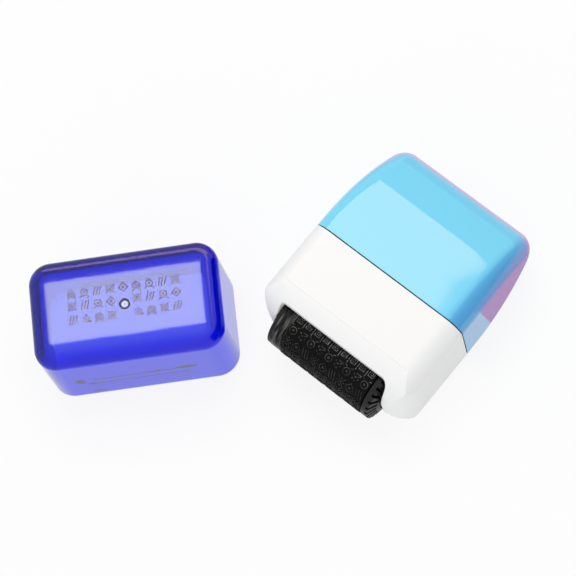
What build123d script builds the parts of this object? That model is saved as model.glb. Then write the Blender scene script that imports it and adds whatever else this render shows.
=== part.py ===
from build123d import *
from math import cos, hypot, radians, sin, sqrt, tan
import os

# A palm-sized roller stamp that lies on its back, with its clear cap taken off beside it.
# X runs along the roller, +Y from the roller to the top of the grip, +Z up from the floor.
# The origin is the middle of the flat back of the white skirt. Lengths are in millimetres.

# Stamp roller, whose length sets the width of the body round it
roller_length = 39.3
roller_radius = 9.8
roller_drop = 25.0
roller_gap = 0.35
roller_end_gap = 0.4

# Body, shared by the grip cover and the white housing
cheek_depth = 7.45
body_thickness = 31.0
corner_radius = 5.7
parting_gap = 0.4

# White housing: a straight skirt, then a rounded nose round the roller
skirt_height = 18.8
nose_height = 11.3
nose_end_radius = 9.8
crease_step = 0.2
housing_wall = 1.6
shoulder_wall = 1.8
window_left_corner = 0.9
window_right_corner = 2.7
lip_drop = 24.4
cheek_wall = 1.6
cheek_wall_drop = 5.0
edge_round = 0.45

# Neck that the grip cover pushes over
neck_height = 5.5
neck_wall = 1.4
neck_clearance = 0.2
crush_rib_height = 0.12
crush_rib_width = 1.0
crush_rib_count = 3
crush_rib_spacing = 15.0

# Grip cover
cover_height = 36.9
cover_wall = 1.6
cover_straight = 6.0
cover_top_radius = 8.2
cover_end_lean = 2.4
cover_rib_width = 1.2
cover_rib_drop = 9.0
cover_rib_spacing = 22.0

# Stamp roller's rubber sleeve, drum and ends
relief_height = 0.5
sleeve_wall = 1.6
core_wall = 1.6
core_web = 1.6
hub_wall = 1.6
plain_band = 5.0
plain_flange_width = 1.2
plain_flange_step = 0.15
toothed_flange_width = 3.5
toothed_flange_rim = 2.3
toothed_flange_step = 0.15
toothed_flange_hub_radius = 5.0
tooth_count = 24
tooth_gap_width = 1.0
tooth_gap_depth = 0.9
tooth_root_radius = 6.2
sleeve_groove = 0.5
pad_rows = 16
pad_columns = 9
pad_land = 0.7

# Stamp roller's axle and bushes
axle_radius = 1.25
running_clearance = 0.05
bush_wall = 0.95
bush_flange_step = 0.7
bush_flange_width = 1.0
slot_clearance = 0.06

# Ink roller
ink_radius = 6.0
ink_end_room = 4.3
ink_contact_gap = 0.15
ink_axle_radius = 1.0
ink_spool_radius = 2.6
ink_hub_radius = 1.9
ink_flange_radius = 4.6
ink_flange_width = 1.0
ink_end_gap = 0.3
ink_sleeve_gap = 0.05
ink_clip_radius = 2.1
ink_clip_width = 0.6
ink_clip_opening = 1.2

# Ink carrier, a saddle whose legs drop into the slots of the cheek walls
carrier_leg_width = 1.3
carrier_shoulder_width = 12.0
carrier_bridge_width = 13.0
carrier_bridge_wall = 1.5
carrier_bridge_drop = 0.4
carrier_bush_gap = 0.1
carrier_slot_width = 3.6
carrier_slot_end = 6.3
carrier_rib_height = 2.2
carrier_rib_wall = 1.2

# Clear cap, standing on its rim
cap_clearance = 0.25
cap_wall = 1.1
cap_depth = 31.5
cap_top_wall = 1.2
cap_edge_radius = 3.2
cap_room_edge_radius = 5.0
cap_draft_angle = 0.6
cap_bead_height = 0.15
cap_bead_width = 0.8
cap_bead_share = 0.62
cap_bead_rises = (4.2, 6.8)
cap_gate_radius = 1.7
cap_gate_depth = 0.35
cap_gate_nub_radius = 0.6
cap_side_distance = 28.4
cap_drop = 53.9
cap_turn_angle = 45.8

# How far a cut runs past the face that it opens
overrun = 1.0

# Places worked out from the sizes above
seam_y = skirt_height / 2
mid_z = body_thickness / 2
window_half = roller_length / 2 + roller_end_gap
half_width = window_half + cheek_depth
body_width = 2 * half_width
window_width = 2 * window_half
ink_length = window_width - 2 * ink_end_room
carrier_slot_length = window_width - 2 * carrier_slot_end
cap_x = -half_width - cap_side_distance
nose_bottom = -skirt_height - nose_height
ink_drop = roller_drop - roller_radius - ink_contact_gap - ink_radius
cheek_wall_end = window_half + cheek_wall


def plan_plane(rise):
    """A level cut through the standing stamp, rise above the parting line; its z is +Y."""
    return Plane(origin=(0, seam_y + rise, mid_z), x_dir=(1, 0, 0), z_dir=(0, 1, 0))


def side_plane(x, rise=0):
    """Seen along the roller: its x is the rise above the parting line and its y is forward."""
    return Plane(origin=(x, seam_y + rise, mid_z), x_dir=(0, 1, 0), z_dir=(1, 0, 0))


def front_plane(forward=0):
    """Seen from the front: its x is along the roller and its y is the rise."""
    return Plane(origin=(0, seam_y, mid_z + forward), x_dir=(1, 0, 0), z_dir=(0, 0, 1))


def ring(inner, outer, width, x, drop):
    """A plain round collar about an axis along X, from x to x + width."""
    with BuildPart() as collar:
        with BuildSketch(side_plane(x, -drop)):
            Circle(outer)
            Circle(inner, mode=Mode.SUBTRACT)
        extrude(amount=width)
    return collar.part


def pin(radius, width, x, drop):
    """A plain round bar about an axis along X, from x to x + width."""
    with BuildPart() as bar:
        with BuildSketch(side_plane(x, -drop)):
            Circle(radius)
        extrude(amount=width)
    return bar.part


def finish(part, name):
    """Labels a piece and writes it to its own file."""
    part.label = name
    export_step(part, f"parts/{name}.step")


def housing_form(inset, rise):
    """Skirt and rounded nose with every wall moved in by inset, up to the given rise."""
    with BuildPart() as form:
        with BuildSketch(plan_plane(nose_bottom)):
            RectangleRounded(body_width - 2 * inset, body_thickness - 2 * inset, corner_radius - inset)
        extrude(amount=rise - nose_bottom)
        with BuildSketch(side_plane(-half_width - overrun)):
            with Locations((-skirt_height, 0)):
                Rectangle(
                    skirt_height + overrun, body_thickness + 2 * overrun, align=(Align.MIN, Align.CENTER)
                )
                Ellipse(nose_height - inset, mid_z - inset - crease_step)
        extrude(amount=body_width + 2 * overrun, mode=Mode.INTERSECT)
        with BuildSketch(front_plane(-mid_z - overrun)) as front:
            with Locations((0, nose_bottom + inset)):
                Rectangle(
                    body_width - 2 * inset, rise - nose_bottom - inset, align=(Align.CENTER, Align.MIN)
                )
            fillet(front.vertices().group_by(Axis.Y)[0], nose_end_radius - inset)
        extrude(amount=body_thickness + 2 * overrun, mode=Mode.INTERSECT)
    return form.part


def cover_form(inset):
    """Grip outline with every wall moved in by inset: arched from the side, rounded at the ends."""
    half_depth = mid_z - inset
    top_radius = cover_top_radius - inset
    top_rise = cover_height - inset
    straight_rise = cover_straight
    arch_rise = top_rise - top_radius - straight_rise
    side_radius = (arch_rise**2 + half_depth**2 - top_radius**2) / (2 * (half_depth - top_radius))
    reach = side_radius / hypot(arch_rise, side_radius - half_depth)
    joint_rise = straight_rise + arch_rise * reach
    joint_depth = half_depth - side_radius + (side_radius - half_depth) * reach
    half_end = half_width - inset
    with BuildPart() as form:
        with BuildSketch(side_plane(-half_width)):
            with BuildLine():
                Line((0, -half_depth), (0, half_depth))
                Line((0, half_depth), (straight_rise, half_depth))
                TangentArc((straight_rise, half_depth), (joint_rise, joint_depth), tangent=(1, 0))
                ThreePointArc((joint_rise, joint_depth), (top_rise, 0), (joint_rise, -joint_depth))
                TangentArc((straight_rise, -half_depth), (joint_rise, -joint_depth), tangent=(1, 0))
                Line((0, -half_depth), (straight_rise, -half_depth))
            make_face()
        extrude(amount=body_width)
        with BuildSketch(front_plane(-mid_z - overrun)):
            with BuildLine():
                Line((-half_end, 0), (half_end, 0))
                TangentArc((half_end, 0), (half_end - cover_end_lean, cover_height), tangent=(0, 1))
                Line(
                    (half_end - cover_end_lean, cover_height), (cover_end_lean - half_end, cover_height)
                )
                TangentArc((-half_end, 0), (cover_end_lean - half_end, cover_height), tangent=(0, 1))
            make_face()
        extrude(amount=body_thickness + 2 * overrun, mode=Mode.INTERSECT)
        ends = form.faces().sort_by(Axis.X)
        rim = ends[0].edges().sort_by(Axis.Y)[1:] + ends[-1].edges().sort_by(Axis.Y)[1:]
        fillet(rim, corner_radius - inset)
    return form.part


def cheek_walls():
    """The two inner walls beside the roller, as tall blocks that the housing trims."""
    with BuildPart() as walls:
        with BuildSketch(plan_plane(nose_bottom)):
            with Locations((-cheek_wall_end, 0), (window_half, 0)):
                Rectangle(cheek_wall, body_thickness, align=(Align.MIN, Align.CENTER))
        extrude(amount=-nose_bottom - cheek_wall_drop)
    return walls.part


def make_lower_housing():
    """White housing with its roller window, thinned lips and the slots that hold the bushes."""
    cavity = housing_form(housing_wall, -shoulder_wall) - cheek_walls()
    neck_inset = cover_wall + neck_clearance
    bore_inset = neck_inset + neck_wall
    slot_radius = axle_radius + bush_wall + slot_clearance
    with BuildPart() as housing:
        add(housing_form(0, 0))
        with BuildSketch(front_plane(-mid_z - overrun)) as window:
            with Locations((0, -lip_drop)):
                Rectangle(
                    window_width, overrun - nose_bottom - lip_drop, align=(Align.CENTER, Align.MAX)
                )
            fillet(window.vertices().group_by(Axis.Y)[-1].sort_by(Axis.X)[-1], window_right_corner)
            fillet(window.vertices().group_by(Axis.Y)[-1].sort_by(Axis.X)[0], window_left_corner)
        extrude(amount=body_thickness + 2 * overrun, mode=Mode.SUBTRACT)
        cut_edges = housing.edges(Select.LAST)
        cheek_bottoms = cut_edges.filter_by(Axis.Z).group_by(Axis.Y)[0]
        fillet((cut_edges.filter_by(Axis.Z, reverse=True) + cheek_bottoms).sort_by(Axis.Z), edge_round)
        with BuildSketch(plan_plane(0)):
            RectangleRounded(
                body_width - 2 * neck_inset, body_thickness - 2 * neck_inset, corner_radius - neck_inset
            )
        extrude(amount=neck_height)
        for face in (1, -1):
            with BuildSketch(front_plane(face * (mid_z - neck_inset))):
                with GridLocations(crush_rib_spacing, 0, crush_rib_count, 1):
                    Rectangle(
                        crush_rib_width, neck_height - edge_round, align=(Align.CENTER, Align.MIN)
                    )
            extrude(amount=face * crush_rib_height)
        add(cavity, mode=Mode.SUBTRACT)
        with BuildSketch(plan_plane(-shoulder_wall - overrun)):
            RectangleRounded(
                body_width - 2 * bore_inset, body_thickness - 2 * bore_inset, corner_radius - bore_inset
            )
        extrude(amount=shoulder_wall + neck_height + 2 * overrun, mode=Mode.SUBTRACT)
        with BuildSketch(side_plane(-window_half, -roller_drop)):
            Circle(roller_radius + roller_gap)
        extrude(amount=window_width, mode=Mode.SUBTRACT)
        for x in (-cheek_wall_end - overrun, window_half - overrun):
            with BuildSketch(side_plane(x, -roller_drop)):
                Circle(slot_radius)
                Rectangle(roller_drop, 2 * slot_radius, align=(Align.MIN, Align.CENTER))
            extrude(amount=cheek_wall + 2 * overrun, mode=Mode.SUBTRACT)
        flange_room = bush_flange_width + slot_clearance
        for x in (-cheek_wall_end - flange_room, cheek_wall_end):
            with BuildSketch(side_plane(x, -roller_drop)):
                Circle(slot_radius + bush_flange_step)
            extrude(amount=flange_room, mode=Mode.SUBTRACT)
    finish(housing.part, "lower_housing")


def make_top_cover():
    """Glossy grip cover: an arched shell with a plain mouth and three stiffening ribs inside."""
    with BuildPart() as ribs:
        with BuildSketch(plan_plane(cover_height)):
            with GridLocations(cover_rib_spacing, 0, 2, 1):
                Rectangle(cover_rib_width, body_thickness)
            Rectangle(body_width, cover_rib_width)
        extrude(amount=-cover_rib_drop)
    hollow = cover_form(cover_wall) - ribs.part
    with BuildPart() as cover:
        add(cover_form(0))
        add(hollow, mode=Mode.SUBTRACT)
        with BuildSketch(plan_plane(-overrun)):
            Rectangle(body_width + overrun, body_thickness + overrun)
        extrude(amount=overrun + parting_gap, mode=Mode.SUBTRACT)
    finish(cover.part, "top_cover")


def make_roller_core():
    """Moulded drum: a rim and a hub tube joined by three round webs."""
    bore = axle_radius + running_clearance
    rim_radius = roller_radius - relief_height - sleeve_wall
    left = -roller_length / 2
    rim_start = left + plain_flange_width
    rim_end = roller_length / 2 - toothed_flange_width
    middle = (rim_start + rim_end) / 2
    with BuildPart() as core:
        add(ring(bore, bore + hub_wall, roller_length, left, roller_drop))
        add(ring(rim_radius - core_wall, rim_radius, rim_end - rim_start, rim_start, roller_drop))
        for x in (rim_start, middle - core_web / 2, rim_end - core_web):
            add(ring(bore + hub_wall / 2, rim_radius - core_wall / 2, core_web, x, roller_drop))
    finish(core.part, "roller_core")


def make_stamp_sleeve():
    """Rubber sleeve: a plain band on the left, then raised pads in rows round the roller."""
    base_radius = roller_radius - relief_height
    start = -roller_length / 2 + plain_flange_width
    end = roller_length / 2 - toothed_flange_width - sleeve_groove
    pattern_start = start - plain_flange_width + plain_band
    pitch = (end - pattern_start) / pad_columns
    turn = radians(360 / pad_rows)
    pad_length = pitch - pad_land
    pad_width = base_radius * turn - pad_land
    pad_top = sqrt(roller_radius**2 - (pad_width / 2) ** 2)
    with BuildPart() as pads:
        with BuildSketch(side_plane(pattern_start + pad_land / 2, -roller_drop)):
            with PolarLocations(0, pad_rows, start_angle=180 / pad_rows):
                Rectangle(pad_top, pad_width, align=(Align.MIN, Align.CENTER))
            Circle(base_radius - sleeve_wall / 2, mode=Mode.SUBTRACT)
        extrude(amount=pad_length)
    with BuildPart() as sleeve:
        add(ring(base_radius - sleeve_wall, base_radius, end - start, start, roller_drop))
        with Locations(*[(column * pitch, 0, 0) for column in range(pad_columns)]):
            add(pads.part)
    finish(sleeve.part, "stamp_sleeve")


def make_roller_flanges():
    """The drum's two ends: a plain disc on the left and a bevelled disc of fine teeth on the right."""
    hub_hole = axle_radius + running_clearance + hub_wall
    rim = roller_radius - relief_height + plain_flange_step
    plain = ring(hub_hole, rim, plain_flange_width, -roller_length / 2, roller_drop)
    finish(plain, "plain_flange")
    start = roller_length / 2 - toothed_flange_width
    tooth_tip = roller_radius - toothed_flange_step
    bevel = toothed_flange_width - toothed_flange_rim
    with BuildPart() as flange:
        with BuildSketch(side_plane(start, -roller_drop)):
            Circle(tooth_tip)
        extrude(amount=toothed_flange_rim)
        loft_start = flange.faces().sort_by(Axis.X)[-1]
        with BuildSketch(side_plane(start + toothed_flange_width, -roller_drop)):
            Circle(toothed_flange_hub_radius)
        loft([loft_start, flange.pending_faces[0]])
        tooth_start = start + toothed_flange_rim - tooth_gap_depth
        with BuildSketch(side_plane(tooth_start, -roller_drop)):
            with PolarLocations(tooth_root_radius, tooth_count):
                Rectangle(tooth_tip, tooth_gap_width, align=(Align.MIN, Align.CENTER))
        extrude(amount=tooth_gap_depth + bevel + overrun, mode=Mode.SUBTRACT)
        with BuildSketch(side_plane(start - overrun, -roller_drop)):
            Circle(hub_hole)
        extrude(amount=toothed_flange_width + 2 * overrun, mode=Mode.SUBTRACT)
    finish(flange.part, "toothed_flange")


def make_roller_mounting():
    """The steel axle and the two flanged bushes that sit in the slots of the cheek walls."""
    bush_end = cheek_wall_end + bush_flange_width
    finish(pin(axle_radius, 2 * bush_end, -bush_end, roller_drop), "roller_axle")
    bush_radius = axle_radius + bush_wall
    for side, name in ((-1, "axle_bush_left"), (1, "axle_bush_right")):
        with BuildPart() as bush:
            with BuildSketch(side_plane(side * window_half, -roller_drop)):
                Circle(bush_radius)
            extrude(amount=side * (bush_end - window_half))
            with BuildSketch(side_plane(side * cheek_wall_end, -roller_drop)):
                Circle(bush_radius + bush_flange_step)
            extrude(amount=side * bush_flange_width)
            with BuildSketch(side_plane(side * window_half, -roller_drop)):
                Circle(axle_radius)
            extrude(amount=side * (bush_end - window_half), mode=Mode.SUBTRACT)
        finish(bush.part, name)


def make_ink_roller():
    """Spool, slip-on end discs and the soft ink sleeve between them."""
    bore = ink_axle_radius + running_clearance
    hub_end = window_half - ink_end_gap
    with BuildPart() as spool:
        add(ring(bore, ink_hub_radius, 2 * hub_end, -hub_end, ink_drop))
        add(ring(bore, ink_spool_radius, ink_length, -ink_length / 2, ink_drop))
    finish(spool.part, "ink_spool")
    finish(
        ring(ink_spool_radius + ink_sleeve_gap, ink_radius, ink_length, -ink_length / 2, ink_drop),
        "ink_sleeve",
    )
    left = -ink_length / 2 - ink_flange_width
    finish(ring(ink_hub_radius, ink_flange_radius, ink_flange_width, left, ink_drop), "ink_disc_left")
    right = ink_length / 2
    finish(ring(ink_hub_radius, ink_flange_radius, ink_flange_width, right, ink_drop), "ink_disc_right")


def make_ink_mounting():
    """The ink roller's axle, its two spring clips and the carrier that both hang in."""
    leg_start = window_half + (cheek_wall - carrier_leg_width) / 2
    leg_end = leg_start + carrier_leg_width
    axle_end = leg_end + ink_clip_width + ink_end_gap
    finish(pin(ink_axle_radius, 2 * axle_end, -axle_end, ink_drop), "ink_axle")
    with BuildPart() as clips:
        for x in (-leg_end - ink_clip_width, leg_end):
            with BuildSketch(side_plane(x, -ink_drop)):
                Circle(ink_clip_radius)
                Circle(ink_axle_radius, mode=Mode.SUBTRACT)
                Rectangle(
                    ink_clip_radius, ink_clip_opening, align=(Align.MIN, Align.CENTER), mode=Mode.SUBTRACT
                )
            extrude(amount=ink_clip_width)
    finish(clips.part, "ink_axle_clips")
    leg_half = axle_radius + bush_wall
    bush_top = roller_drop - leg_half - carrier_bush_gap
    bridge_top = -carrier_bridge_drop
    bridge_bottom = bridge_top - carrier_bridge_wall
    with BuildPart() as carrier:
        for x in (-leg_end, leg_start):
            with BuildSketch(side_plane(x)):
                with Locations((-bush_top, 0)):
                    Rectangle(
                        bush_top + bridge_top, 2 * leg_half, align=(Align.MIN, Align.CENTER)
                    )
                with Locations((-cheek_wall_drop, 0)):
                    Rectangle(
                        cheek_wall_drop + bridge_top, carrier_shoulder_width,
                        align=(Align.MIN, Align.CENTER),
                    )
                with Locations((-ink_drop, 0)):
                    Circle(ink_axle_radius, mode=Mode.SUBTRACT)
            extrude(amount=carrier_leg_width)
        with BuildSketch(plan_plane(bridge_bottom)):
            Rectangle(2 * leg_end, carrier_bridge_width)
            SlotOverall(carrier_slot_length, carrier_slot_width, mode=Mode.SUBTRACT)
        extrude(amount=carrier_bridge_wall)
        with BuildSketch(plan_plane(bridge_top)):
            for y in (-1, 1):
                with Locations((0, y * (carrier_bridge_width - carrier_rib_wall) / 2)):
                    Rectangle(carrier_slot_length, carrier_rib_wall)
        extrude(amount=carrier_rib_height)
    finish(carrier.part, "ink_carrier")


def cap_plane(rise):
    """A level plane over the standing cap, turned as the cap stands, rise above the floor."""
    turn = radians(cap_turn_angle)
    return Plane(origin=(cap_x, seam_y - cap_drop, rise), x_dir=(cos(turn), sin(turn), 0), z_dir=(0, 0, 1))


def cap_block(inset, height, edge_radius):
    """The cap's drafted block, its walls moved in by inset, with a soft edge round its top."""
    outer_inset = cap_wall + cap_clearance - inset
    with BuildPart() as block:
        with BuildSketch(cap_plane(0)):
            RectangleRounded(
                body_width + 2 * outer_inset, body_thickness + 2 * outer_inset, corner_radius + outer_inset
            )
        extrude(amount=height, taper=cap_draft_angle)
        fillet(block.faces().sort_by(Axis.Z)[-1].edges(), edge_radius)
    return block.part


def make_cap():
    """Clear cap with drafted walls, snap beads inside its long walls and the gate mark on top."""
    room = cap_block(cap_wall, cap_depth - cap_top_wall, cap_room_edge_radius)
    bead_length = body_width * cap_bead_share
    bead_radius = cap_bead_width / 2
    with BuildPart() as cap:
        add(cap_block(0, cap_depth, cap_edge_radius))
        add(room, mode=Mode.SUBTRACT)
        for rise in cap_bead_rises:
            level = cap_plane(rise)
            start = level.from_local_coords((-bead_length / 2, 0, 0))
            wall_face = body_thickness / 2 + cap_clearance - rise * tan(radians(cap_draft_angle))
            bead_centre = wall_face + bead_radius - cap_bead_height
            with BuildSketch(Plane(origin=start, x_dir=level.y_dir, z_dir=level.x_dir)):
                with Locations((-bead_centre, 0), (bead_centre, 0)):
                    Circle(bead_radius)
            extrude(amount=bead_length)
        with BuildSketch(cap_plane(cap_depth)):
            Circle(cap_gate_radius)
            Circle(cap_gate_nub_radius, mode=Mode.SUBTRACT)
        extrude(amount=-cap_gate_depth, mode=Mode.SUBTRACT)
    finish(cap.part, "cap")


os.makedirs("parts", exist_ok=True)
make_lower_housing()
make_top_cover()
make_roller_core()
make_stamp_sleeve()
make_roller_flanges()
make_roller_mounting()
make_ink_roller()
make_ink_mounting()
make_cap()
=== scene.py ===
from math import atan2, cos, pi, radians, sin, tan

import bmesh
import bpy
from bpy.props import FloatProperty, FloatVectorProperty, IntProperty, PointerProperty
from mathutils import Matrix, Vector, noise


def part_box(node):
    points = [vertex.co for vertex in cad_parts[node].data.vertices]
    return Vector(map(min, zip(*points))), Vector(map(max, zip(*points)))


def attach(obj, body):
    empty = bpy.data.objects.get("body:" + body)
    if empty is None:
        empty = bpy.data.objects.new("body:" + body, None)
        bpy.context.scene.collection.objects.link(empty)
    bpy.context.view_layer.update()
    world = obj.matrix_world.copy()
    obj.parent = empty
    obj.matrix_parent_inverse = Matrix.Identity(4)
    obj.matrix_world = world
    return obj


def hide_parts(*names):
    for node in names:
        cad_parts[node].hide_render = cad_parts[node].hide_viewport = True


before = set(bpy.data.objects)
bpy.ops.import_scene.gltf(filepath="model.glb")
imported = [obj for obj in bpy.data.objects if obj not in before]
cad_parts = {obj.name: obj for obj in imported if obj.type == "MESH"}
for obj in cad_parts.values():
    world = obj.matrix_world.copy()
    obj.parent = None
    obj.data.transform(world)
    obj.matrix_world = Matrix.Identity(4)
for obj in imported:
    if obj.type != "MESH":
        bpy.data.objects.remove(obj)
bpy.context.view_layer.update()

bl_info = {
    "name": "Roller stamp",
    "version": (1, 0, 0),
    "blender": (4, 5, 0),
    "location": "View3D > Sidebar > Stamp",
    "description": "Finishes a palm-sized roller stamp with its clear cap, and lights it",
    "category": "Object",
}

MM = 0.001


# Sizes and colours that a user may change

class StampColours(bpy.types.PropertyGroup):
    """Colours of the stamp's plastics, rubber and ink."""

    grip: FloatVectorProperty(
        name="Grip", description="Glossy plastic of the grip cover",
        subtype="COLOR", size=3, min=0, max=1, default=(0.168, 0.67, 0.91),
    )
    # Painted shade: a darker blue that stands for the shade on the cover's right end
    shaded_grip: FloatVectorProperty(
        name="Shaded grip", description="The same plastic round the cover's right end",
        subtype="COLOR", size=3, min=0, max=1, default=(0.1, 0.38, 0.73),
    )
    skirt: FloatVectorProperty(
        name="Skirt", description="Satin plastic of the housing",
        subtype="COLOR", size=3, min=0, max=1, default=(0.878, 0.881, 0.882),
    )
    rubber: FloatVectorProperty(
        name="Rubber", description="Rubber between the raised marks",
        subtype="COLOR", size=3, min=0, max=1, default=(0.002, 0.002, 0.0022),
    )
    # Painted highlight with some wear: the pale colour of the marks' tops
    wear_and_sheen_rubber: FloatVectorProperty(
        name="Pale rubber tops", description="Tops of the raised marks",
        subtype="COLOR", size=3, min=0, max=1, default=(0.27, 0.27, 0.265),
    )
    cap: FloatVectorProperty(
        name="Cap", description="What a millimetre of the cap's clear plastic lets through",
        subtype="COLOR", size=3, min=0, max=1, default=(0.0, 0.15, 0.94),
    )
    ink: FloatVectorProperty(
        name="Ink", description="Dried ink on the cap",
        subtype="COLOR", size=3, min=0, max=1, default=(0.24, 0.195, 0.16),
    )


class CapSizes(bpy.types.PropertyGroup):
    """How the cap stands, and the ink that the roller has left on it."""

    turn: FloatProperty(
        name="Turn", description="Cap's turn about the upright axis",
        unit="ROTATION", subtype="ANGLE", default=radians(45.8),
    )
    length: FloatProperty(
        name="Length", description="Longest side of the cap at its rim",
        unit="LENGTH", subtype="DISTANCE", default=57.7 * MM,
    )
    width: FloatProperty(
        name="Width", description="Shortest side of the cap at its rim",
        unit="LENGTH", subtype="DISTANCE", default=33.7 * MM,
    )
    print_pitch: FloatProperty(
        name="Print pitch", description="From one printed mark to the next",
        unit="LENGTH", subtype="DISTANCE", default=3.9 * MM,
    )
    print_columns: IntProperty(
        name="Print columns", description="Printed marks in a row", min=1, max=12, default=9,
    )
    row_lifts: FloatVectorProperty(
        name="Row lifts", description="Places of the printed rows across the cap",
        unit="LENGTH", subtype="TRANSLATION", size=3, default=(5.2 * MM, 1.4 * MM, -2.8 * MM),
    )


class ReliefSizes(bpy.types.PropertyGroup):
    """Layout of the marks that stand up from the rubber sleeve."""

    rows: IntProperty(name="Rows", description="Rows of marks round the roller", min=6, max=40, default=16)
    columns: IntProperty(name="Columns", description="Marks along the roller", min=2, max=20, default=9)
    height: FloatProperty(
        name="Height", description="How far the marks stand up from the rubber",
        unit="LENGTH", subtype="DISTANCE", default=0.2 * MM,
    )
    stroke: FloatProperty(
        name="Stroke", description="Width of the lines that the marks are made of",
        unit="LENGTH", subtype="DISTANCE", default=0.25 * MM,
    )
    turn: FloatProperty(
        name="Turn", description="How far the first row of marks lies round the roller",
        unit="LENGTH", subtype="DISTANCE", default=-1.9 * MM,
    )
    plain_band: FloatProperty(
        name="Plain band", description="Smooth rubber at the left end",
        unit="LENGTH", subtype="DISTANCE", default=3.8 * MM,
    )


class StageSizes(bpy.types.PropertyGroup):
    """Where the camera stands."""

    azimuth: FloatProperty(
        name="Azimuth", description="Camera's turn about the upright axis",
        unit="ROTATION", subtype="ANGLE", default=radians(62.5),
    )
    elevation: FloatProperty(
        name="Elevation", description="Camera's height as an angle",
        unit="ROTATION", subtype="ANGLE", default=radians(71.7),
    )
    roll: FloatProperty(
        name="Roll", description="Camera's turn about its own line of sight",
        unit="ROTATION", subtype="ANGLE", default=radians(-24.0),
    )
    distance: FloatProperty(
        name="Distance", description="From the camera to the middle of the picture",
        unit="LENGTH", subtype="DISTANCE", default=0.85,
    )
    seen_width: FloatProperty(
        name="Seen width", description="Width of the picture at that distance",
        unit="LENGTH", subtype="DISTANCE", default=576 / 3.42 * MM,
    )
    target: FloatVectorProperty(
        name="Target", description="Point in the middle of the picture",
        unit="LENGTH", subtype="TRANSLATION", size=3, default=(-0.0208, -0.0112, 0.0304),
    )


# Shader maths as plain expressions

class Signal:
    """One output socket, so that sums on it add their own Math nodes."""

    def __init__(self, paint, socket):
        self.paint = paint
        self.socket = socket

    def math(self, operation, *values):
        return self.paint.node("ShaderNodeMath", {"operation": operation}, dict(enumerate(values)))[0]

    def __add__(self, other):
        return self.math("ADD", self, other)

    def __radd__(self, other):
        return self.math("ADD", other, self)

    def __sub__(self, other):
        return self.math("SUBTRACT", self, other)

    def __rsub__(self, other):
        return self.math("SUBTRACT", other, self)

    def __mul__(self, other):
        return self.math("MULTIPLY", self, other)

    def __rmul__(self, other):
        return self.math("MULTIPLY", other, self)

    def __pow__(self, other):
        return self.math("POWER", self, other)

    def root(self):
        return self.math("SQRT", self)

    def greater(self, other):
        return self.math("MAXIMUM", self, other)

    def step(self, low, high):
        """0 below low and 1 above high, with a smooth rise between them."""
        return self.paint.node(
            "ShaderNodeMapRange", {"interpolation_type": "SMOOTHSTEP"},
            {"Value": self, "From Min": low, "From Max": high},
        )[0]


class Nodes:
    """A node tree, and the one method that adds nodes to it."""

    def __init__(self, tree):
        self.tree = tree

    def node(self, kind, settings, values):
        """Adds a node, sets it up, then fills or links its sockets; returns its outputs as signals."""
        added = self.tree.nodes.new(kind)
        for key, value in settings.items():
            if key == "stops":
                ramp = added.color_ramp
                while len(ramp.elements) < len(value):
                    ramp.elements.new(1)
                for element, (place, colour) in zip(ramp.elements, value):
                    element.position = place
                    element.color = colour
            else:
                setattr(added, key, value)
        for key, value in values.items():
            self.feed(added.inputs[key], value)
        return [Signal(self, socket) for socket in added.outputs if socket.enabled]

    def feed(self, socket, value):
        if isinstance(value, Signal):
            self.tree.links.new(value.socket, socket)
        elif isinstance(value, (tuple, list)) and socket.type == "RGBA" and len(value) == 3:
            socket.default_value = (*value, 1)
        else:
            socket.default_value = value

    def rays(self, *names):
        """1 for a ray of one of the named kinds and 0 for any other."""
        kinds = self.node("ShaderNodeLightPath", {}, {})
        found, *others = (kind for kind in kinds if kind.socket.name in names)
        for kind in others:
            found = found.greater(kind)
        return found


class Paint(Nodes):
    """A material with its main shader."""

    def __init__(self, name):
        self.material = bpy.data.materials.new(name)
        self.material.use_nodes = True
        super().__init__(self.material.node_tree)
        self.shader = self.tree.nodes["Principled BSDF"]
        self.surface = Signal(self, self.shader.outputs["BSDF"])
        self.output = self.tree.nodes["Material Output"]

    def principled(self, **values):
        """Fills the main shader's sockets; a name's underscores stand for spaces."""
        for key, value in values.items():
            self.feed(self.shader.inputs[key.replace("_", " ")], value)

    def mix(self, share, other):
        """Puts another shader in the main shader's place by a share from 0 to 1."""
        both = self.node("ShaderNodeMixShader", {}, {0: share, 1: self.surface, 2: other})[0]
        self.feed(self.output.inputs["Surface"], both)

    def place(self):
        """The point on the piece, in the piece's own coordinates."""
        return Signal(self, self.tree.nodes.new("ShaderNodeTexCoord").outputs["Object"])

    def grain(self, scale, detail=2, roughness=0.5, stretch=(1, 1, 1)):
        """Noise from 0 to 1; scale is in waves per metre."""
        where = self.node("ShaderNodeMapping", {}, {"Vector": self.place(), "Scale": stretch})[0]
        return self.node(
            "ShaderNodeTexNoise", {},
            {"Vector": where, "Scale": scale, "Detail": detail, "Roughness": roughness},
        )[0]

    def between(self, amount, first, second):
        """A colour between two colours."""
        return self.node(
            "ShaderNodeMix", {"data_type": "RGBA"}, {"Factor": amount, 6: first, 7: second},
        )[0]

    def bump(self, height, strength, distance):
        """A normal that follows a height in metres times distance."""
        return self.node(
            "ShaderNodeBump", {}, {"Height": height, "Strength": strength, "Distance": distance},
        )[0]

    def split(self):
        """The three parts of the point on the piece."""
        return self.node("ShaderNodeSeparateXYZ", {}, {0: self.place()})


def colours():
    return bpy.context.scene.stamp_colours


# Finishes

def grip_plastic():
    """Polished opaque plastic with a very slight orange peel; its blue is darkened round its right end as
    painted shade.
    """
    paint = Paint("grip_plastic")
    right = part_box("top_cover")[1][0]
    x, _, _ = paint.split()
    # Painted shade: the blue darkens over the last few millimetres towards the cover's right end
    painted_shade = x.step(right - 7.5 * MM, right - 2.5 * MM)
    peel = paint.grain(260, detail=1)
    paint.principled(
        Base_Color=paint.between(painted_shade, tuple(colours().grip), tuple(colours().shaded_grip)),
        Roughness=0.05, IOR=1.5, Coat_Weight=0.25, Coat_Roughness=0.04,
        Normal=paint.bump(peel, 0.04, 0.1 * MM),
    )
    return paint.material


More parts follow.
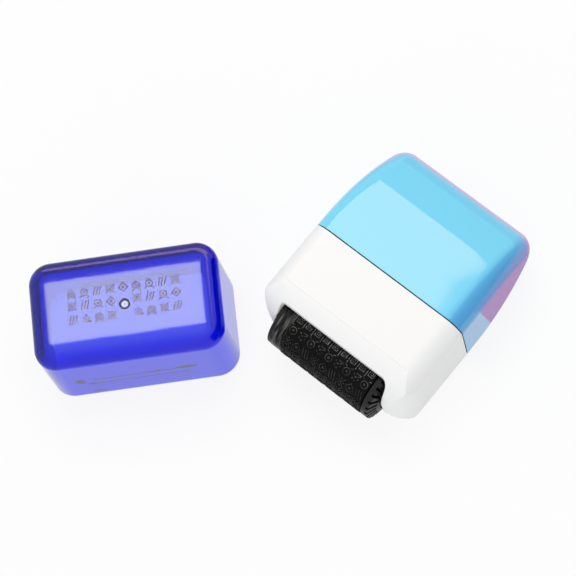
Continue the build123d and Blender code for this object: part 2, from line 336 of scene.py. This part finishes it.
def skirt_plastic():
    """White satin plastic with fine moulded grain, darkened on the neck in the joint under the grip as
    painted shade.
    """
    paint = Paint("skirt_plastic")
    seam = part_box("top_cover")[0][1]
    _, y, _ = paint.split()
    # Painted shade: a near-black band on the neck inside the gap under the grip
    painted_gap_shade = y.step(seam - 0.38 * MM, seam - 0.3 * MM) * (1 - y.step(seam, seam + 0.1 * MM))
    fine = paint.grain(5200, detail=2)
    paint.principled(
        Base_Color=paint.between(painted_gap_shade, tuple(colours().skirt), (0.02, 0.03, 0.035)),
        Roughness=0.34 + 0.08 * paint.grain(180), IOR=1.47,
        Specular_IOR_Level=0.32, Normal=paint.bump(fine, 0.08, 0.03 * MM),
    )
    return paint.material


def black_plastic():
    """Moulded black plastic with a half gloss."""
    paint = Paint("black_plastic")
    fine = paint.grain(2600, detail=2)
    paint.principled(
        Base_Color=paint.between(paint.grain(420), (0.007, 0.007, 0.0075), (0.014, 0.014, 0.015)),
        Roughness=0.36 + 0.1 * paint.grain(600), Specular_IOR_Level=0.22,
        Normal=paint.bump(fine, 0.1, 0.03 * MM),
    )
    return paint.material


def bush_plastic():
    """Natural white bearing plastic."""
    paint = Paint("bush_plastic")
    paint.principled(Base_Color=(0.72, 0.71, 0.67), Roughness=0.4 + 0.1 * paint.grain(900), IOR=1.5)
    return paint.material


def ground_steel():
    """Steel ground along its length."""
    paint = Paint("ground_steel")
    lines = paint.grain(9000, detail=3, stretch=(0.04, 1, 1))
    paint.principled(
        Base_Color=paint.between(lines, (0.5, 0.5, 0.51), (0.68, 0.68, 0.69)), Metallic=1.0,
        Roughness=0.24 + 0.12 * lines,
    )
    return paint.material


def stamp_rubber(low_x, centre, base_radius, top_radius):
    """Black rubber, with the tops of the marks painted pale as highlight and some wear, paler towards the
    seam side, and a plain end with painted reflection streaks.
    """
    paint = Paint("stamp_rubber")
    x, y, z = paint.split()
    radius = ((y - centre.y) ** 2 + (z - centre.z) ** 2).root()
    # Painted highlight: pale tops of the marks, fading out towards the nose side of the roller
    top = radius.step(base_radius + 0.5 * (top_radius - base_radius), top_radius)
    highlight_fade = 0.16 + 0.84 * y.step(centre.y - 5 * MM, centre.y + 1.5 * MM)
    dust = paint.grain(1100, detail=4, roughness=0.6).step(0.4, 0.62)
    plain = 1 - x.step(low_x + 3.2 * MM, low_x + 4.4 * MM)
    # Painted reflection: pale streaks round the plain end
    reflection_streaks = paint.grain(1500, detail=3, stretch=(1, 0.1, 0.1)).step(0.42, 0.7)
    base = paint.between(plain * reflection_streaks, tuple(colours().rubber), (0.13, 0.125, 0.12))
    paint.principled(
        Base_Color=paint.between(top * highlight_fade * (0.25 + 0.75 * dust), base, tuple(colours().wear_and_sheen_rubber)),
        Roughness=0.48 - 0.2 * plain, Specular_IOR_Level=0.09,
        Normal=paint.bump(paint.grain(4200, detail=3), 0.15, 0.04 * MM),
    )
    return paint.material


def ink_felt():
    """Felt soaked with black ink."""
    paint = Paint("ink_felt")
    fibres = paint.grain(2600, detail=6, roughness=0.7)
    paint.principled(
        Base_Color=paint.between(fibres, (0.008, 0.008, 0.014), (0.035, 0.034, 0.05)),
        Roughness=0.75 - 0.25 * paint.grain(700), IOR=1.4, Normal=paint.bump(fibres, 0.7, 0.25 * MM),
    )
    return paint.material


def cap_plastic():
    """Clear tinted plastic, whose colour deepens with its thickness; painted shade darkens its left, far
    and right edges round the closed end, near-black on the left and far rims.
    """
    sizes = bpy.context.scene.cap_sizes
    low, high = (Vector(corner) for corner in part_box("cap"))
    middle = (low + high) / 2
    paint = Paint("cap_plastic")
    local = paint.node(
        "ShaderNodeMapping", {"vector_type": "TEXTURE"},
        {"Vector": paint.place(), "Location": (middle.x, middle.y, 0), "Rotation": (0, 0, sizes.turn)},
    )[0]
    u, v, z = paint.node("ShaderNodeSeparateXYZ", {}, {0: local})
    half_length, half_width = sizes.length / 2, sizes.width / 2
    # Painted shade: a darker tint on the left, right and far edges round the closed end, not on the near
    # one
    left = (u * -1).step(half_length - 5 * MM, half_length - 1.5 * MM)
    right = u.step(half_length - 3 * MM, half_length - 1.5 * MM)
    far = v.step(half_width - 5 * MM, half_width - 1.5 * MM)
    edge = left.greater(0.7 * right).greater(far) * z.step(high.z - 7 * MM, high.z - 2 * MM)
    # Painted shade: near-black rims on the left and far edges
    rim_left = (u * -1).step(half_length - 2.6 * MM, half_length - 1.3 * MM)
    rim_far = v.step(half_width - 3.2 * MM, half_width - 1.6 * MM)
    rim = rim_left.greater(rim_far) * z.step(high.z - 4 * MM, high.z - 2.5 * MM)
    painted_shade = paint.between(edge, (0.98, 0.98, 1.0), (0.5, 0.45, 0.8))
    paint.principled(
        Base_Color=paint.between(rim, painted_shade, (0.06, 0.005, 0.15)), Roughness=0.02, IOR=1.49,
        Transmission_Weight=1.0, Normal=paint.bump(paint.grain(110, detail=0), 0.02, 0.1 * MM),
    )
    clear = paint.node("ShaderNodeBsdfTransparent", {}, {"Color": (1, 1, 1)})[0]
    paint.mix(paint.rays("Is Shadow Ray"), clear)
    tint = paint.node(
        "ShaderNodeVolumeAbsorption", {}, {"Color": tuple(colours().cap), "Density": 2700.0},
    )[0]
    paint.feed(paint.output.inputs["Volume"], tint)
    return paint.material


def dried_ink(name, colour):
    """Thin dried ink, broken up where it has not taken."""
    paint = Paint(name)
    broken = paint.grain(1500, detail=4, roughness=0.7).step(0.4, 0.54)
    paint.principled(Base_Color=colour, Roughness=0.6, Alpha=0.4 + 0.6 * broken)
    return paint.material


def gate_shade_plastic():
    """Near-black blue, put as painted shade in the gate's hollow round the scar."""
    paint = Paint("gate_shade_plastic")
    shade = paint.between(paint.grain(2500), (0.008, 0.006, 0.06), (0.02, 0.015, 0.12))
    paint.principled(Base_Color=shade, Roughness=0.25)
    return paint.material


def frosted_scar():
    """Rough pale plastic where the runner broke off."""
    paint = Paint("frosted_scar")
    rough = paint.grain(3000, detail=3)
    paint.principled(
        Base_Color=paint.between(rough, (0.75, 0.77, 0.9), (0.95, 0.95, 1.0)), Roughness=0.7,
        Normal=paint.bump(rough, 0.4, 0.1 * MM),
    )
    return paint.material


FINISHES = {
    "top_cover": grip_plastic, "lower_housing": skirt_plastic, "cap": cap_plastic,
    "roller_core": black_plastic, "plain_flange": black_plastic, "toothed_flange": black_plastic,
    "ink_spool": black_plastic, "ink_disc_left": black_plastic, "ink_disc_right": black_plastic,
    "ink_carrier": black_plastic, "axle_bush_left": bush_plastic, "axle_bush_right": bush_plastic,
    "roller_axle": ground_steel, "ink_axle": ground_steel, "ink_axle_clips": ground_steel,
}


# Meshes

def new_piece(name, mesh, material, smooth_angle=None):
    """Makes an object at the origin from a bmesh and gives it a finish."""
    data = bpy.data.meshes.new(name)
    mesh.to_mesh(data)
    mesh.free()
    data.materials.append(material)
    if smooth_angle is not None:
        data.shade_smooth()
        data.set_sharp_from_angle(angle=smooth_angle)
    piece = bpy.data.objects.new(name, data)
    bpy.context.scene.collection.objects.link(piece)
    return piece


def add_bar(mesh, start, end, width, height, steps=3):
    """A flat bar from start to end on the mesh's level plane, in steps so that it can bend."""
    start, end = Vector((*start, 0)), Vector((*end, 0))
    run = end - start
    turn = Matrix.Rotation(atan2(run.y, run.x), 4, "Z")
    shape = Matrix.Translation((start + end) / 2) @ turn
    size = Matrix.Diagonal((run.length + width, width, height, 1))
    made = bmesh.ops.create_cube(mesh, size=1, matrix=shape @ size)["verts"]
    edges = {edge for vert in made for edge in vert.link_edges}
    long_edges = [e for e in edges if abs((e.verts[0].co - e.verts[1].co).dot(run)) > 1e-12
                  and abs((e.verts[0].co - e.verts[1].co).z) < 1e-9
                  and (e.verts[0].co - e.verts[1].co).length > run.length]
    if steps > 1:
        bmesh.ops.subdivide_edges(mesh, edges=long_edges, cuts=steps - 1)


def add_ring(mesh, centre, radius, width, height, sides=20):
    """A flat ring on the level plane, spun from its square section."""
    middle = Vector((*centre, 0))
    corners = (radius, 0.5), (radius, -0.5), (radius - width, -0.5), (radius - width, 0.5)
    section = [mesh.verts.new(middle + Vector((out, 0, up * height))) for out, up in corners]
    edges = [mesh.edges.new((section[i - 1], section[i])) for i in range(4)]
    bmesh.ops.spin(
        mesh, geom=section + edges, cent=middle, axis=(0, 0, 1), angle=2 * pi, steps=sides, use_merge=True,
    )


def add_dot(mesh, centre, radius, height, sides=10):
    """A flat round stud."""
    bmesh.ops.create_cone(
        mesh, cap_ends=True, segments=sides, radius1=radius, radius2=radius, depth=height,
        matrix=Matrix.Translation((*centre, 0)),
    )


def add_smear(mesh, centre, length, width, height, sides=28):
    """A flat patch with a ragged outline."""
    made = bmesh.ops.create_cone(
        mesh, cap_ends=True, segments=sides, radius1=0.5, radius2=0.5, depth=height,
    )["verts"]
    for vert in made:
        reach = 0.75 + 0.5 * noise.noise(Vector((vert.co.x * 9, vert.co.y * 9, centre[0] * 1000)))
        vert.co.x = centre[0] + vert.co.x * length * reach
        vert.co.y = centre[1] + vert.co.y * width * reach


class MarkMaker:
    """Draws the abstract marks of one cell; u runs along the roller and v round it."""

    def __init__(self, mesh, half_u, half_v, stroke, height):
        self.mesh = mesh
        self.half_u = half_u
        self.half_v = half_v
        self.stroke = stroke
        self.height = height

    def bar(self, start, end, share=1):
        """A bar between two points given as shares of the half cell."""
        ends = [((self.u + a * self.half_u), (self.v + b * self.half_v)) for a, b in (start, end)]
        add_bar(self.mesh, *ends, self.stroke * share, self.height)

    def ring(self, centre, share):
        a, b = centre
        place = (self.u + a * self.half_u, self.v + b * self.half_v)
        add_ring(self.mesh, place, share * self.half_u, self.stroke, self.height)

    def dot(self, centre, share):
        a, b = centre
        place = (self.u + a * self.half_u, self.v + b * self.half_v)
        add_dot(self.mesh, place, share * self.half_u, self.height)

    def nested_frames(self):
        """A line on the left that ends in a stud, beside two nested squares."""
        self.bar((-1.08, -1.05), (-1.08, 1.05))
        self.dot((-1.08, -1.05), 0.2)
        for reach in (0.62, 0.26):
            for side in (-reach, reach):
                self.bar((0.05 - reach, side), (0.05 + reach, side), 0.7)
                self.bar((0.05 + side, -reach), (0.05 + side, reach), 0.7)

    def hatched_frame(self):
        """A line on the left that ends in a stud, beside a square with slanting bars."""
        self.bar((-1.08, -1.05), (-1.08, 1.05))
        self.dot((-1.08, -1.05), 0.2)
        for side in (-0.62, 0.62):
            self.bar((-0.57, side), (0.67, side), 0.7)
            self.bar((0.05 + side, -0.62), (0.05 + side, 0.62), 0.7)
        for start in (-0.35, 0.0, 0.35):
            self.bar((start - 0.1, -0.4), (start + 0.2, 0.4), 0.6)

    def target(self):
        """A ring round a stud, with two ticks."""
        self.ring((0, 0.05), 0.88)
        self.dot((0, 0.05), 0.3)
        for side in (-1, 1):
            self.bar((side, -1), (0.6 * side, -0.85))

    def studs(self):
        """Scattered studs between two bars."""
        for a, b, share in (
            (-0.6, 0.35, 0.2), (0.1, 0.6, 0.26), (0.65, 0.1, 0.18), (-0.1, -0.15, 0.22), (-0.7, -0.5, 0.16),
        ):
            self.dot((a, b), share)
        self.bar((-0.2, -0.8), (0.9, -0.8))
        self.bar((0.35, -0.35), (0.9, -0.6))

    def hatch(self):
        """Three slanting bars."""
        for start in (-0.9, -0.25, 0.4):
            self.bar((start, -0.9), (start + 0.5, 0.9))

    def dotted_cross(self):
        """Crossing bars with a stud in each corner."""
        self.bar((-0.9, -0.9), (0.9, 0.9))
        self.bar((0.9, -0.9), (-0.9, 0.9))
        for a, b in ((0.75, 0), (-0.75, 0), (0, 0.75), (0, -0.75)):
            self.dot((a, b), 0.2)

    def chevrons(self):
        """Three nested chevrons."""
        for drop in (0, 0.65, 1.3):
            self.bar((-0.9, 0.1 - drop), (0, 0.95 - drop))
            self.bar((0, 0.95 - drop), (0.9, 0.1 - drop))

    def diamond(self):
        """A square on its corner round a stud."""
        corners = ((0, 1), (1, 0), (0, -1), (-1, 0))
        for first, second in zip(corners, corners[1:] + corners[:1]):
            self.bar(first, second)
        self.dot((0, 0), 0.32)

    def draw(self, u, v, name):
        self.u = u
        self.v = v
        getattr(self, name)()


ROW_MARKS = (
    ("nested_frames", "hatched_frame"), ("target", "studs"), ("dotted_cross", "diamond", "hatch"),
    ("chevrons", "studs", "target"), ("diamond", "hatch"), ("studs", "dotted_cross", "chevrons"),
    ("hatched_frame", "target"), ("hatch", "studs", "diamond"),
)
PRINT_MARKS = (
    ("chevrons", "target", "hatch", "dotted_cross", "diamond"),
    ("dotted_cross", "hatch", "target", "diamond", "chevrons"),
    ("hatch", "studs", "chevrons", "dotted_cross"),
)


# Dried ink inside the cap's near wall, in millimetres: rise, start and end of each line,
# then place along the wall, rise, length and width of each patch.
SMEAR_LINES = ((9.6, -15, 14), (13.6, -14, 17))
SMEAR_PATCHES = (
    (-18.2, 13.2, 3.8, 5.5), (-15.4, 9.8, 3.4, 2.6), (14.0, 14.2, 8.0, 3.4), (4.5, 13.8, 8.0, 2.0),
    (-14.5, 1.9, 6.0, 1.7),
)
INK_FILM = 0.02 * MM


def wrap(mesh, centre, base_radius):
    """Bends a flat sheet of marks round the roller: y becomes the way round, z the height."""
    for vert in mesh.verts:
        angle = vert.co.y / base_radius
        radius = base_radius + vert.co.z
        vert.co.y = centre.y - radius * sin(angle)
        vert.co.z = centre.z + radius * cos(angle)


def add_tube(mesh, low_x, high_x, inner, outer, centre, sides, steps=1):
    """A closed tube along X, its ends included."""
    width = high_x - low_x
    ring = [Vector((low_x, centre.y, centre.z + radius)) for radius in (inner, outer)]
    ring += [corner + Vector((width, 0, 0)) for corner in reversed(ring)]
    verts = [mesh.verts.new(corner) for corner in ring]
    edges = [mesh.edges.new((verts[i], verts[(i + 1) % 4])) for i in range(4)]
    if steps > 1:
        bmesh.ops.subdivide_edges(mesh, edges=[edges[1]], cuts=steps - 1)
    bmesh.ops.spin(
        mesh, geom=list(mesh.verts) + list(mesh.edges), cent=centre, axis=(1, 0, 0), angle=2 * pi,
        steps=sides, use_merge=True,
    )


def roller_place(node):
    """The roller's middle and radius, read from its node."""
    low, high = (Vector(corner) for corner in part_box(node))
    return low, high, (low + high) / 2, (high.z - low.z) / 2


def oblong(low_u, high_u, low_v, high_v):
    """Corners of a flat rectangle."""
    return (low_u, low_v), (high_u, low_v), (high_u, high_v), (low_u, high_v)


# Operators

class STAMP_OT_finish_plastics(bpy.types.Operator):
    """Gives every moulded and steel part its finish."""

    bl_idname = "stamp.finish_plastics"
    bl_label = "Finish moulded parts"

    def execute(self, context):
        made = {}
        for node, finish in FINISHES.items():
            if finish not in made:
                made[finish] = finish()
            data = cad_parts[node].data
            data.materials.clear()
            data.materials.append(made[finish])
        return {"FINISHED"}


class STAMP_OT_stamp_sleeve(bpy.types.Operator):
    """Makes the rubber sleeve with its raised marks."""

    bl_idname = "stamp.stamp_sleeve"
    bl_label = "Rubber sleeve"

    def execute(self, context):
        sizes = context.scene.relief_sizes
        low, high, centre, top_radius = roller_place("stamp_sleeve")
        base_radius = top_radius - sizes.height
        material = stamp_rubber(low.x, centre, base_radius, top_radius)

        marks = bmesh.new()
        first = low.x + sizes.plain_band
        pitch_u = (high.x - first) / sizes.columns
        pitch_v = 2 * pi * base_radius / sizes.rows
        gap = 0.3 * MM
        maker = MarkMaker(
            marks, (pitch_u - gap - sizes.stroke) / 2, (pitch_v - gap - sizes.stroke) / 2, sizes.stroke,
            2 * sizes.height,
        )
        for row in range(sizes.rows):
            kinds = ROW_MARKS[row % len(ROW_MARKS)]
            for column in range(sizes.columns):
                maker.draw(
                    first + (column + 0.5) * pitch_u, (row + 0.5) * pitch_v + sizes.turn,
                    kinds[(column + row // len(ROW_MARKS)) % len(kinds)],
                )
        wrap(marks, centre, base_radius)

        body = bmesh.new()
        add_tube(body, low.x, high.x, base_radius - 1.6 * MM, base_radius, centre, 96)
        bmesh.ops.recalc_face_normals(body, faces=body.faces)
        bmesh.ops.recalc_face_normals(marks, faces=marks.faces)
        base_data = bpy.data.meshes.new("sleeve_base")
        body.to_mesh(base_data)
        body.free()
        marks.from_mesh(base_data)
        piece = new_piece("sleeve_relief", marks, material, radians(30))
        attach(piece, "stamp_roller")
        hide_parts("stamp_sleeve")
        return {"FINISHED"}


class STAMP_OT_ink_sleeve(bpy.types.Operator):
    """Makes the ink-soaked felt sleeve."""

    bl_idname = "stamp.ink_sleeve"
    bl_label = "Ink sleeve"

    def execute(self, context):
        low, high, centre, radius = roller_place("ink_sleeve")
        felt = bmesh.new()
        add_tube(felt, low.x, high.x, 2.65 * MM, radius, centre, 72, steps=48)
        bmesh.ops.recalc_face_normals(felt, faces=felt.faces)
        for vert in felt.verts:
            away = Vector((0, vert.co.y - centre.y, vert.co.z - centre.z))
            if away.length > radius - 0.1 * MM:
                vert.co -= away.normalized() * 0.12 * MM * (0.5 + 0.5 * noise.noise(vert.co * 900))
        piece = new_piece("ink_felt_roll", felt, ink_felt(), radians(50))
        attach(piece, "ink_roller")
        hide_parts("ink_sleeve")
        return {"FINISHED"}


class STAMP_OT_cap_ink(bpy.types.Operator):
    """Makes the print on the cap's closed end, the smears inside its near wall and its gate's scar."""

    bl_idname = "stamp.cap_ink"
    bl_label = "Ink on the cap"

    def execute(self, context):
        sizes = context.scene.cap_sizes
        low, high = (Vector(corner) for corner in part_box("cap"))
        middle = (low + high) / 2
        stand = Matrix.Translation((middle.x, middle.y, 0)) @ Matrix.Rotation(sizes.turn, 4, "Z")
        self.add_print(sizes, stand, high.z)
        self.add_smears(sizes, stand)
        self.add_gate(stand, high.z)
        return {"FINISHED"}

    def add_print(self, sizes, stand, top):
        """Rows of marks just above the closed end, with room left for the gate."""
        half, stroke, gate_room = 1.35 * MM, 0.34 * MM, 3 * MM
        prints = bmesh.new()
        maker = MarkMaker(prints, half, half, stroke, INK_FILM)
        for kinds, lift in zip(PRINT_MARKS, sizes.row_lifts):
            for column in range(sizes.print_columns):
                along = (column - (sizes.print_columns - 1) / 2) * sizes.print_pitch
                if Vector((along, lift)).length > gate_room:
                    maker.draw(along, lift, kinds[column % len(kinds)])
        place = stand @ Matrix.Translation((0, 0, top + INK_FILM))
        thin = tuple(colours().ink)
        self.add_to_cap("cap_print", prints, place, dried_ink("printed_ink", thin), "ink_felt")

    def add_smears(self, sizes, stand):
        """Two lines and five patches of thicker ink, drawn on a flat sheet and stood up on the wall."""
        wall, draft, line_width, darker = 1.13 * MM, radians(0.6), 0.7 * MM, 0.2
        smears = bmesh.new()
        for rise, start, end in SMEAR_LINES:
            add_bar(smears, (start * MM, rise * MM), (end * MM, rise * MM), line_width, INK_FILM, steps=1)
        for along, rise, length, width in SMEAR_PATCHES:
            add_smear(smears, (along * MM, rise * MM), length * MM, width * MM, INK_FILM)
        inner = Matrix.Translation((0, wall - sizes.width / 2, 0))
        place = stand @ inner @ Matrix.Rotation(pi / 2 + draft, 4, "X")
        thick = tuple(darker * part for part in colours().ink)
        self.add_to_cap("cap_smears", smears, place, dried_ink("smeared_ink", thick), "ink_felt")

    def add_gate(self, stand, top):
        """The pale scar in the gate's hollow, with a ring of painted shade round it and a dark pip of
        painted shade in its middle.
        """
        gate_depth, lift, thickness = 0.35 * MM, 0.06 * MM, 0.1 * MM
        place = stand @ Matrix.Translation((0, 0, top - gate_depth + lift))
        scar = bmesh.new()
        add_dot(scar, (0, 0), 1.0 * MM, thickness, sides=24)
        self.add_to_cap("gate_scar", scar, place, frosted_scar(), "clear_blue")
        # Painted shade: a near-black ring and pip in the gate's hollow
        shade_ring = bmesh.new()
        add_ring(shade_ring, (0, 0), 1.65 * MM, 0.6 * MM, thickness, sides=32)
        add_dot(shade_ring, (0, 0), 0.28 * MM, 0.24 * MM, sides=12)
        self.add_to_cap("gate_shade_ring", shade_ring, place, gate_shade_plastic(), "clear_blue")

    def add_to_cap(self, name, mesh, place, material, slot):
        bmesh.ops.transform(mesh, matrix=place, verts=mesh.verts)
        bmesh.ops.recalc_face_normals(mesh, faces=mesh.faces)
        piece = new_piece(name, mesh, material)
        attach(piece, "cap_body")


# What the camera sees directly, in a reflection or through the cap
SEEN_RAYS = ("Is Camera Ray", "Is Glossy Ray", "Is Transmission Ray")
KEY_DISTANCE = 0.75
ROSE = (1.0, 0.26, 0.4)


class STAMP_OT_stage(bpy.types.Operator):
    """Sets up the floor, the lamps, the world and the camera."""

    bl_idname = "stamp.stage"
    bl_label = "Stage"

    def execute(self, context):
        scene = context.scene
        sizes = scene.stage_sizes
        self.add_floor()
        self.add_world(scene)
        aim = Vector(sizes.target)
        key = Vector((-0.28, 0.3, 0.9)).normalized()
        front = Vector((0.3, -0.85, 0.45))
        self.add_softbox("softbox_key", aim, key, distance=KEY_DISTANCE, size=(0.5, 0.5), power=2.1)
        self.add_softbox("softbox_low", aim, front, distance=0.9, size=(0.5, 0.3), power=1.5)
        self.add_key_card(aim, key)
        self.add_rose_cards()
        self.add_blue_card()
        camera = self.add_camera(scene, sizes, aim)
        self.add_cap_card(scene, camera.matrix_world.translation, height=0.6)
        scene.view_settings.view_transform = "Standard"
        return {"FINISHED"}

    def add_floor(self):
        floor = bmesh.new()
        bmesh.ops.create_grid(floor, x_segments=1, y_segments=1, size=3)
        paint = Paint("pale_floor")
        paint.principled(Base_Color=(0.9, 0.9, 0.9), Roughness=0.9, Specular_IOR_Level=0.0)
        white = paint.node("ShaderNodeEmission", {}, {"Color": (1, 1, 1), "Strength": 1.0})[0]
        glow = 0.86
        paint.mix(glow * paint.rays(*SEEN_RAYS), white)
        new_piece("floor", floor, paint.material)

    def add_world(self, scene):
        """White where it is seen and dimmer where it only lights."""
        light = 0.66
        scene.world = bpy.data.worlds.new("studio")
        scene.world.use_nodes = True
        sky = Nodes(scene.world.node_tree)
        background = sky.tree.nodes["Background"]
        sky.feed(background.inputs["Color"], (1, 1, 1))
        sky.feed(background.inputs["Strength"], light + (1 - light) * sky.rays(*SEEN_RAYS))

    def add_softbox(self, name, aim, way, distance, size, power):
        lamp = bpy.data.lights.new(name, "AREA")
        lamp.shape = "RECTANGLE"
        lamp.size, lamp.size_y = size
        lamp.energy = power
        lamp.use_shadow = True
        lit = bpy.data.objects.new(name, lamp)
        lit.visible_glossy = False
        lit.location = aim + way.normalized() * distance
        lit.rotation_euler = way.to_track_quat("Z", "Y").to_euler()
        bpy.context.scene.collection.objects.link(lit)

    def add_card(self, name, place, colour, strength, outline):
        """A glowing card that only reflections see."""
        card = bmesh.new()
        corners = [card.verts.new((*corner, 0)) for corner in outline]
        edges = [card.edges.new((corners[i - 1], corners[i])) for i in range(len(corners))]
        bmesh.ops.contextual_create(card, geom=edges)
        bmesh.ops.transform(card, matrix=place, verts=card.verts)
        paint = Paint(name)
        glow = paint.node("ShaderNodeEmission", {}, {"Color": colour, "Strength": strength})[0]
        paint.feed(paint.output.inputs["Surface"], glow)
        piece = new_piece(name, card, paint.material)
        piece.visible_camera = False
        piece.visible_diffuse = False
        piece.visible_transmission = False
        piece.visible_shadow = False

    def add_key_card(self, aim, key):
        """The key softbox as reflections see it: a panel with a slanting left side and one round corner."""
        foot, top, side, top_width, left_lean = -0.1, 0.5, 0.076, 0.1, radians(40)
        round_width, round_height, steps = 0.04, 0.35, 12
        corner = [
            (side - round_width * (1 - cos(turn)), top - round_height * (1 - sin(turn)))
            for turn in (pi / 2 * step / steps for step in range(steps + 1))
        ]
        top_left = side - top_width
        panel = [(top_left - (top - foot) * tan(left_lean), foot), (side, foot), *corner, (top_left, top)]
        along = (Vector((1, 0, 0)) - key * key.x).normalized()
        facing = Matrix((along, key.cross(along), key)).transposed().to_4x4()
        place = Matrix.Translation(aim + key * KEY_DISTANCE) @ facing
        self.add_card("softbox_face", place, colour=(1, 0.7, 0.47), strength=4.7, outline=panel)

    def add_rose_cards(self):
        """Rose paper on the ground beside the cover's right end and beyond its top, and a wall behind."""
        _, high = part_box("top_cover")
        side, beyond = high[0], high[1] + 4 * MM
        start, lean, reach, strip = 22 * MM, radians(10), 1.2, 80 * MM
        ground = Matrix.Translation((0, 0, MM))
        raised = Matrix.Translation((0, 0, 2 * MM))
        beside = (side, start), (reach, start + (reach - side) * tan(lean)), (reach, reach), (side, reach)
        back = oblong(-0.3, side, beyond, reach)
        near = oblong(-60 * MM, 100 * MM, beyond, beyond + strip)
        self.add_card("rose_floor", ground, colour=ROSE, strength=1.0, outline=beside)
        self.add_card("rose_back", ground, colour=ROSE, strength=1.0, outline=back)
        self.add_card("rose_strip", raised, colour=(1.0, 0.2, 0.32), strength=1.5, outline=near)
        upright = Matrix.Translation((0, reach, 0)) @ Matrix.Rotation(pi / 2, 4, "X")
        wall = oblong(-0.5, reach, 0, 0.25)
        self.add_card("rose_wall", upright, colour=(0.8, 0.35, 0.55), strength=0.8, outline=wall)

    def add_blue_card(self):
        """A dim blue flag to the right of the stamp."""
        upright = Matrix.Translation((0.4, 0, 0)) @ Matrix.Rotation(-pi / 2, 4, "Y")
        flag = oblong(0.02, 3.0, -0.1, 1.4)
        self.add_card("blue_flag", upright, colour=(0.1, 0.25, 0.5), strength=0.25, outline=flag)

    def add_cap_card(self, scene, eye, height):
        """A card at the given height, placed so that the cap's closed end mirrors it in one patch."""
        turn = Matrix.Rotation(scene.cap_sizes.turn, 4, "Z")
        low, high = (Vector(corner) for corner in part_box("cap"))
        middle = Vector(((low.x + high.x) / 2, (low.y + high.y) / 2, high.z))
        below = Vector((eye.x, eye.y, 2 * high.z - eye.z))
        end_margin, far_margin, near_margin = 5.5 * MM, 7 * MM, 7.5 * MM
        ends = scene.cap_sizes.length / 2 - end_margin
        far = scene.cap_sizes.width / 2 - far_margin
        near = scene.cap_sizes.width / 2 - near_margin
        outline = []
        for u, v in oblong(-ends, ends, -near, far):
            way = middle + turn @ Vector((u, v, 0)) - below
            spot = below + way * ((height - below.z) / way.z)
            outline.append((spot.x, spot.y))
        place = Matrix.Translation((0, 0, height))
        self.add_card("softbox_cap", place, colour=(1, 1.03, 0.45), strength=9.0, outline=outline)

    def add_camera(self, scene, sizes, aim):
        back = Vector((
            sin(sizes.azimuth) * cos(sizes.elevation), -cos(sizes.azimuth) * cos(sizes.elevation),
            sin(sizes.elevation),
        ))
        lens = bpy.data.cameras.new("camera")
        lens.sensor_width = 36
        lens.lens = 36 * sizes.distance / sizes.seen_width
        lens.clip_start = 0.05
        camera = bpy.data.objects.new("camera", lens)
        level = back.to_track_quat("Z", "Y").to_matrix().to_4x4()
        turned = level @ Matrix.Rotation(sizes.roll, 4, "Z")
        camera.matrix_world = Matrix.Translation(aim + back * sizes.distance) @ turned
        scene.collection.objects.link(camera)
        scene.camera = camera
        return camera


class STAMP_PT_panel(bpy.types.Panel):
    """Lists the steps and the sizes."""

    bl_idname = "STAMP_PT_panel"
    bl_label = "Roller stamp"
    bl_space_type = "VIEW_3D"
    bl_region_type = "UI"
    bl_category = "Stamp"

    def draw(self, context):
        for step in STEPS:
            self.layout.operator(step.bl_idname)
        for group in (getattr(context.scene, name) for name in GROUPS):
            box = self.layout.box()
            for key in group.bl_rna.properties.keys():
                if key not in ("rna_type", "name"):
                    box.prop(group, key)


STEPS = (
    STAMP_OT_finish_plastics, STAMP_OT_stamp_sleeve, STAMP_OT_ink_sleeve, STAMP_OT_cap_ink, STAMP_OT_stage,
)
GROUPS = {
    "stamp_colours": StampColours, "cap_sizes": CapSizes, "relief_sizes": ReliefSizes,
    "stage_sizes": StageSizes,
}


def register():
    for cls in (*GROUPS.values(), *STEPS, STAMP_PT_panel):
        bpy.utils.register_class(cls)
    for name, group in GROUPS.items():
        setattr(bpy.types.Scene, name, PointerProperty(type=group))


def unregister():
    for name in GROUPS:
        delattr(bpy.types.Scene, name)
    for cls in reversed((*GROUPS.values(), *STEPS, STAMP_PT_panel)):
        bpy.utils.unregister_class(cls)


def main():
    """Registers the add-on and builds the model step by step."""
    register()
    bpy.ops.stamp.finish_plastics()
    bpy.ops.stamp.stamp_sleeve()
    bpy.ops.stamp.ink_sleeve()
    bpy.ops.stamp.cap_ink()
    bpy.ops.stamp.stage()


if __name__ == "__main__":
    main()
